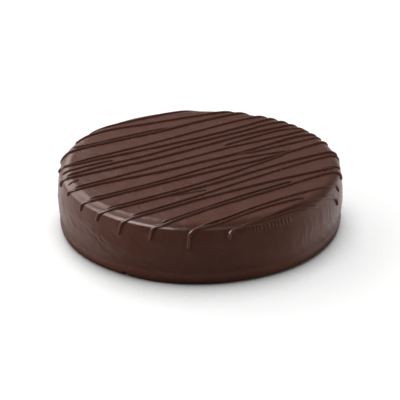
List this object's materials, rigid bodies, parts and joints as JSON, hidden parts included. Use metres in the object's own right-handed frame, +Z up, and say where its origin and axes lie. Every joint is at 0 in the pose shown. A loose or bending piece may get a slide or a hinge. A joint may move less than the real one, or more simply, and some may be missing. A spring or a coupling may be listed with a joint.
{
  "type": "chocolate cake",
  "caption": "Whole round cake under a smooth dark chocolate coating, with a rounded rim and raised strands of chocolate drizzled across its top and over the edge.",
  "frame": {"origin": "centre of the flat underside, on the surface that the cake rests on", "axes": "+Z up through the cake, -Y towards the front, +X to the right as seen from the front"},
  "size_m": [0.2034, 0.2034, 0.0467],
  "materials": {
    "chocolate": "dark chocolate coating, satin, faintly mottled, with soft reflections"
  },
  "bodies": {
    "root": {"chocolate_cake": "chocolate"}
  },
  "joints": []
}
